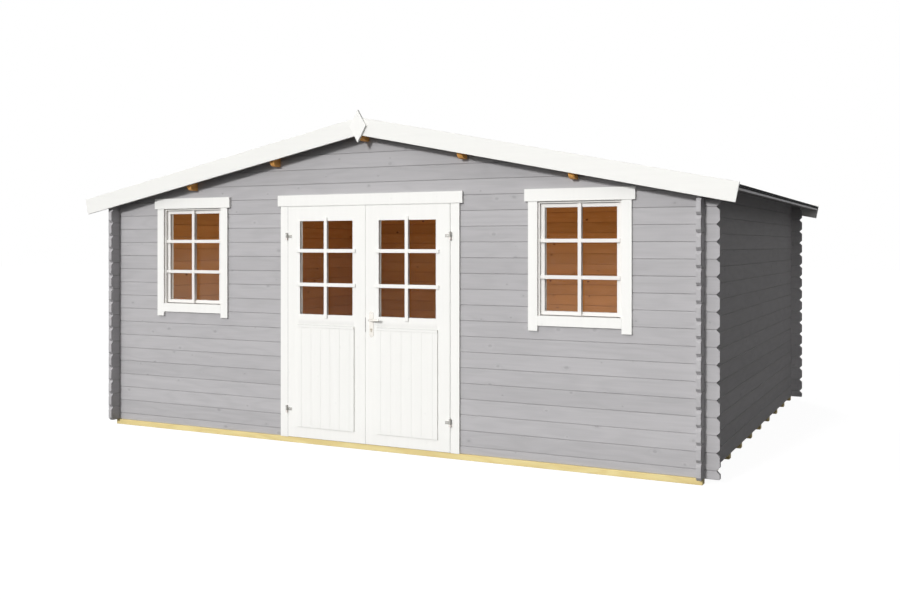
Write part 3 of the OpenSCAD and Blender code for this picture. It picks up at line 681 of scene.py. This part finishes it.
shape = bmesh.new()
for foot, top in ((leaf_low.z, wall_foot + LOCK_FOOT), (wall_foot + LOCK_TOP, leaf_high.z)):
    block(shape, (meeting + HAIR, seal_near, foot), (meeting + SEAL_WIDTH, seal_far, top),
          SEAL_EDGE)
piece("meeting_seal", shape, white_rubber, "left_leaf")

for side in ("left", "right"):
    low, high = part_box(f"{side}_window_sash")
    near, far = low.y + SASH_SEAL_BACK, low.y + SASH_SEAL_BACK + SEAL_DEPTH
    shape = bmesh.new()
    for edge in (low.x - SASH_JOINT, high.x):
        block(shape, (edge + HAIR, near, low.z), (edge + SASH_JOINT - HAIR, far, high.z),
              LIP_EDGE)
    block(shape, (low.x - SASH_JOINT + HAIR, near, high.z + HAIR),
          (high.x + SASH_JOINT - HAIR, far, high.z + SASH_JOINT - HAIR), LIP_EDGE)
    piece(f"{side}_window_seals", shape, white_rubber, "cabin")


# ---------- floor boards ----------

shape = bmesh.new()
for number in range(FLOOR_BOARDS):
    left = floor_low.x + number * floor_board
    block(shape, (left + SEAT, floor_low.y, floor_low.z),
          (left + floor_board - SEAT, floor_high.y, floor_high.z), edge=0.002, segments=1)
piece("floor_boards", shape, floor_wood, "cabin", ["floor"])


# ---------- roof boards and felt ----------

def pitched(shape, sign):
    """Leans a shape over to the slope of one side of the roof; it is drawn flat, on the right."""
    lean = Matrix(((sign, 0, 0, 0), (0, 1, 0, 0), (-slope, 0, 1, ridge_under), (0, 0, 0, 1)))
    bmesh.ops.transform(shape, matrix=lean, verts=shape.verts[:])


for side, sign in SIDES:
    shape = bmesh.new()
    for number in range(ROOF_BOARDS):
        near = -roof_end + number * roof_board
        block(shape, (SEAT, near + SEAT, 0), (eave - SEAT, near + roof_board - SEAT, board_rise),
              edge=0.003, segments=1)
    pitched(shape, sign)
    piece(f"{side}_roof_boarding", shape, roof_wood, "cabin",
          [f"{side}_roof_boards"])

# the felt is laid in sheets along the roof, each lapped over the one below, with a cap over the
# ridge, and nailed along its laps and through the edge that turns down over the eave
FELT_SHEETS = 3
FELT_LAP = 0.080
CAP_WIDTH = 0.16
LAP_THICKNESS = 0.003
SHEET_END = 0.001                # from the roof's ends to the sheets'
LAP_NAILS = 44
EAVE_NAILS = 30
NAIL_FROM_EDGE = 0.025
NAIL_RADIUS, NAIL_HEAD = 0.005, 0.0016             # radius and thickness of a head
EAVE_NAIL_RADIUS, EAVE_NAIL_HEAD = 0.004, 0.0014
EAVE_NAIL_UP = 0.010             # from the felt's turned-down edge
felt_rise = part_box("right_roof_felt")[1].z - ridge_under
felt_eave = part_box("right_roof_felt")[1].x
kerb = eave - 0.004              # where the felt turns up over the batten along the eave


def spread(count, margin):
    """Even places along the roof, from this far inside its front to this far inside its rear."""
    length = 2 * (roof_end - margin)
    return [margin - roof_end + number * length / (count - 1) for number in range(count)]


for side, sign in SIDES:
    shape, nails = bmesh.new(), bmesh.new()
    run = kerb / FELT_SHEETS
    nail_lines = []
    for number in range(FELT_SHEETS):
        lapped = number < FELT_SHEETS - 1
        upper = number * run
        lower = upper + run + (FELT_LAP if lapped else 0)
        kept = len(shape.verts)
        block(shape, (upper + SEAT, -roof_end + SHEET_END, felt_rise),
              (lower, roof_end - SHEET_END, felt_rise + LAP_THICKNESS))
        if lapped:
            nail_lines.append(lower - NAIL_FROM_EDGE)
            shape.verts.ensure_lookup_table()
            for v in shape.verts[kept:]:
                if v.co.x > upper + run / 2:
                    v.co.z += LAP_THICKNESS
    block(shape, (SEAT, -roof_end + SHEET_END, felt_rise + LAP_THICKNESS),
          (CAP_WIDTH, roof_end - SHEET_END, felt_rise + 2 * LAP_THICKNESS))
    nail_lines.append(CAP_WIDTH - NAIL_FROM_EDGE)
    for x in nail_lines:
        for y in spread(LAP_NAILS, margin=0.055):
            disc(nails, (x, y, felt_rise + 2 * LAP_THICKNESS + NAIL_HEAD / 2), NAIL_RADIUS,
                 NAIL_HEAD, (0, 0, 1), sides=10)
    pitched(shape, sign)
    pitched(nails, sign)
    piece(f"{side}_felt_sheets", shape, felt, "cabin")
    turned_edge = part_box(f"{side}_roof_felt")[0].z
    for y in spread(EAVE_NAILS, margin=0.07):
        out = felt_eave + EAVE_NAIL_HEAD / 2 - HAIR
        disc(nails, (sign * out, y, turned_edge + EAVE_NAIL_UP), EAVE_NAIL_RADIUS,
             EAVE_NAIL_HEAD, (sign, 0, 0), sides=10)
    piece(f"{side}_felt_nails", nails, clout, "cabin", smooth=True)


# ---------- door furniture ----------

SCREW_HEAD = 0.0008              # thickness
SCREW_PROUD = 0.0003             # from the plate to the middle of a head's thickness
CROSS_REACH = 0.55               # of the head's radius
CROSS_WIDTH = 0.0008
CROSS_DEPTH = 0.0002
screws = {body: bmesh.new() for body in ("left_leaf", "right_leaf")}
crosses = {body: bmesh.new() for body in screws}


def fix(body, centre, toward, radius):
    """A screw head that stands a little proud of its plate, with a dark cross on it: painted shade of
    its cross recess.
    """
    centre, toward = Vector(centre), Vector(toward)
    disc(screws[body], centre + toward * SCREW_PROUD, radius, SCREW_HEAD, toward, sides=14,
         edge=0.0002)
    centre += toward * (SCREW_PROUD + SCREW_HEAD / 2 + CROSS_DEPTH / 4)
    across = Vector((0, 0, 1)).cross(toward)
    up = across.cross(toward)
    for arm, thin in ((across, up), (up, across)):
        half = arm * radius * CROSS_REACH + thin * CROSS_WIDTH / 2 + toward * CROSS_DEPTH / 2
        half = Vector([abs(size) for size in half])
        block(crosses[body], centre - half, centre + half)


WING_THICKNESS = 0.003
WING_SCREWS = (0.008, 0.022)     # from the tip of a hinge's wing
for side, sign in SIDES:
    low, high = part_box(f"{side}_hinge_wings")
    tip = low.x if sign > 0 else high.x
    for height in HINGE_HEIGHTS:
        for along in WING_SCREWS:
            centre = (tip + sign * along, high.y - WING_THICKNESS, wall_foot + height)
            fix(f"{side}_leaf", centre, (0, -1, 0), radius=0.0032)

# on both handle plates: a screw at each end, and the lock's cylinder below the lever
PLATE_SCREW = 0.088              # from the plate's middle to its screws
CYLINDER_DROP = 0.046            # from the plate's middle to the cylinder's
CYLINDER_PROUD = 0.003
CYLINDER_RADIUS = 0.0085         # of its upper, round half
STEM_HALF = 0.005                # half the width of its lower, straight half
STEM_LENGTH = 0.0145
KEYWAY_HALF = 0.0009             # half the width of its keyway
low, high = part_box("handle_plates")
lever_x = (low.x + high.x) / 2
plate_middle = (low.z + high.z) / 2
cylinder = plate_middle - CYLINDER_DROP
lock, slots = bmesh.new(), bmesh.new()
for y, toward in ((low.y, -1), (high.y, 1)):
    for along in (-PLATE_SCREW, PLATE_SCREW):
        fix("right_leaf", (lever_x, y, plate_middle + along), (0, toward, 0), radius=0.0036)
    near, far = sorted((y - toward * 0.001, y + toward * CYLINDER_PROUD))
    disc(lock, (lever_x, (near + far) / 2, cylinder + 0.006), CYLINDER_RADIUS, far - near,
         (0, toward, 0), sides=28, edge=0.0005)
    block(lock, (lever_x - STEM_HALF, near, cylinder - STEM_LENGTH),
          (lever_x + STEM_HALF, far - HAIR, cylinder + 0.001), edge=0.0015)
    # the keyway is a thin strip on the cylinder, dark as painted shade of the slot
    near, far = sorted((y + toward * (CYLINDER_PROUD - HAIR),
                        y + toward * (CYLINDER_PROUD + 2 * HAIR)))
    block(slots, (lever_x - KEYWAY_HALF, near, cylinder + 0.001),
          (lever_x + KEYWAY_HALF, far, cylinder + 0.011))
piece("lock_cylinder", lock, cylinder_steel, "right_leaf", smooth=True)
piece("keyways", slots, painted_recess_shade, "right_leaf")

# the lock's forend on the edge of its leaf, and the keep it shoots into on the other
FOREND_HALF = 0.010              # half its width
FOREND_PROUD = 0.0012
PLATE_EDGE = 0.0004
leaf_middle = (leaf_face + leaf_back) / 2
forend = bmesh.new()
block(forend, (leaf_low.x - FOREND_PROUD, leaf_middle - FOREND_HALF, wall_foot + LOCK_FOOT),
      (leaf_low.x + 0.001, leaf_middle + FOREND_HALF, wall_foot + LOCK_TOP), PLATE_EDGE)
piece("lock_forend", forend, hinge_steel, "right_leaf")
keep = bmesh.new()
block(keep, (meeting - 0.001, leaf_face + 0.002, wall_foot + LOCK_FOOT),
      (meeting + 0.0015, leaf_middle + FOREND_HALF, wall_foot + LOCK_TOP), PLATE_EDGE)
# the keep's near-black steel paints the shade of the gap between the leaves
piece("lock_keep", keep, dark_steel, "left_leaf")

for body in screws:
    piece(f"{body}_screws", screws[body], zinc, body, smooth=True)
    piece(f"{body}_screw_crosses", crosses[body], painted_recess_shade, body)

# a collar round the lever's neck on each plate
COLLAR_RADIUS = 0.0115
COLLAR_BORE = 0.0086
COLLAR_PROUD = 0.004
lever_low, lever_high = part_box("door_lever")
lever_height = (lever_low.z + lever_high.z) / 2
collars = bmesh.new()
for y, toward in ((low.y, -1), (high.y, 1)):
    place = (Matrix.Translation((lever_x, y, lever_height))
             @ Matrix.Rotation(math.radians(90), 4, "X"))
    rims = {}
    for radius in (COLLAR_RADIUS, COLLAR_BORE):
        circle = bmesh.ops.create_circle(collars, cap_ends=False, segments=32, radius=radius,
                                         matrix=place)
        rims |= dict.fromkeys(e for v in circle["verts"] for e in v.link_edges)
    ring = bmesh.ops.bridge_loops(collars, edges=list(rims))["faces"]
    grown = bmesh.ops.extrude_face_region(collars, geom=ring)["geom"]
    bmesh.ops.translate(collars, vec=(0, toward * COLLAR_PROUD, 0),
                        verts=[v for v in grown if isinstance(v, bmesh.types.BMVert)])
piece("lever_collars", collars, steel, "right_leaf", smooth=True)


# ---------- stage, light and camera ----------

WHITE = (1, 1, 1, 1)
SKY_LEVEL = 0.03                 # the sky's light on the cabin; what is seen of it is white
FLOOR_GLOW = 0.95                # the floor's own white, as it is seen
FLOOR_SHADE = (0.16, 0.16, 0.16, 1)      # and what a shadow takes off it
FLOOR_BOUNCE = (0.10, 0.10, 0.10, 1)     # what the floor throws back on the cabin
FLOOR_REACH = 60.0
FLOOR_DROP = 0.0006              # under the bearers

scene = bpy.context.scene
scene.view_settings.view_transform = "Standard"


def shown_white(f):
    """1 for rays from the camera, off glossy metal or through glass, which see the pale studio."""
    paths = f.tree.nodes.new("ShaderNodeLightPath").outputs
    seen = f.work("MAXIMUM", paths["Is Camera Ray"], paths["Is Glossy Ray"])
    return f.work("MAXIMUM", seen, paths["Is Transmission Ray"])


world = bpy.data.worlds.new("studio")
scene.world = world
world.use_nodes = True
f = Finish(world.node_tree)
background = next(n for n in f.tree.nodes if n.type == "BACKGROUND")
background.inputs["Color"].default_value = WHITE
f.feed(background.inputs["Strength"], f.plus(SKY_LEVEL, f.times(shown_white(f), 1 - SKY_LEVEL)))

slab = bmesh.new()
bmesh.ops.create_grid(slab, x_segments=1, y_segments=1, size=FLOOR_REACH,
                      matrix=Matrix.Translation((0, 0, -FLOOR_DROP)))
mesh = bpy.data.meshes.new("studio_floor")
slab.to_mesh(mesh)
slab.free()
floor = bpy.data.objects.new("studio_floor", mesh)
scene.collection.objects.link(floor)
pale = bpy.data.materials.new("studio_floor")
pale.use_nodes = True
mesh.materials.append(pale)
f = Finish(pale.node_tree)
f.tree.nodes.clear()
glow = f.node("ShaderNodeEmission", {"Color": WHITE, "Strength": FLOOR_GLOW})
shade = f.node("ShaderNodeBsdfDiffuse", {"Color": FLOOR_SHADE})
bounce = f.node("ShaderNodeBsdfDiffuse", {"Color": FLOOR_BOUNCE})
seen = f.node("ShaderNodeAddShader", {0: glow, 1: shade})
output = f.tree.nodes.new("ShaderNodeOutputMaterial")
f.feed(output.inputs["Surface"],
       f.node("ShaderNodeMixShader", {0: shown_white(f), 1: bounce, 2: seen}))


def hang(name, kind, power, toward):
    """A lamp that shines toward a direction."""
    made = bpy.data.objects.new(name, bpy.data.lights.new(name, kind))
    made.data.energy = power
    made.rotation_euler = Vector(toward).to_track_quat("-Z", "Y").to_euler()
    scene.collection.objects.link(made)
    return made


def sun(name, power, toward, spread_degrees):
    hang(name, "SUN", power, toward).data.angle = math.radians(spread_degrees)


def room_lamp(name, power, toward, place, colour, width, height):
    """A lamp in the room that isn't seen through the openings itself."""
    made = hang(name, "AREA", power, toward)
    made.location = place
    made.data.color = colour
    made.data.shape = "RECTANGLE"
    made.data.size, made.data.size_y = width, height
    made.visible_camera = made.visible_transmission = made.visible_glossy = False


sun("key", 2.02, (0.158, 0.939, -0.318), 7)
sun("front_fill", 1.5, (0.36, 0.70, -0.60), 82)
sun("low_fill", 0.2, (-0.2, 1.0, -0.08), 25)
sun("side_fill", 0.27, (-0.75, 0.3, -0.5), 40)
sun("rear_fill", 1.1, (0.75, -0.95, -0.7), 12)
room_lamp("indoors", 22.0, (-0.55, 1.0, -0.1), (0.5, -1.2, 1.0), (1.0, 0.93, 0.85), 3.4, 0.7)
room_lamp("left_corner", 3.2, (-1.0, 0.0, 0.0), (-1.2, -1.0, 1.2), (1.0, 0.93, 0.85), 0.6, 0.6)
room_lamp("sunlit_floor", 7.0, (0.0, 0.9, 0.4), (0.6, 0.9, 0.3), (1.0, 0.86, 0.7), 1.2, 0.4)

camera = bpy.data.objects.new("camera", bpy.data.cameras.new("camera"))
camera.data.lens = 40.2
camera.data.sensor_width = 36.0
camera.data.shift_y = -0.0611
camera.location = (4.194, -9.033, 1.643)
camera.rotation_euler = (math.radians(90), 0, math.radians(26.49))
scene.collection.objects.link(camera)
scene.camera = camera
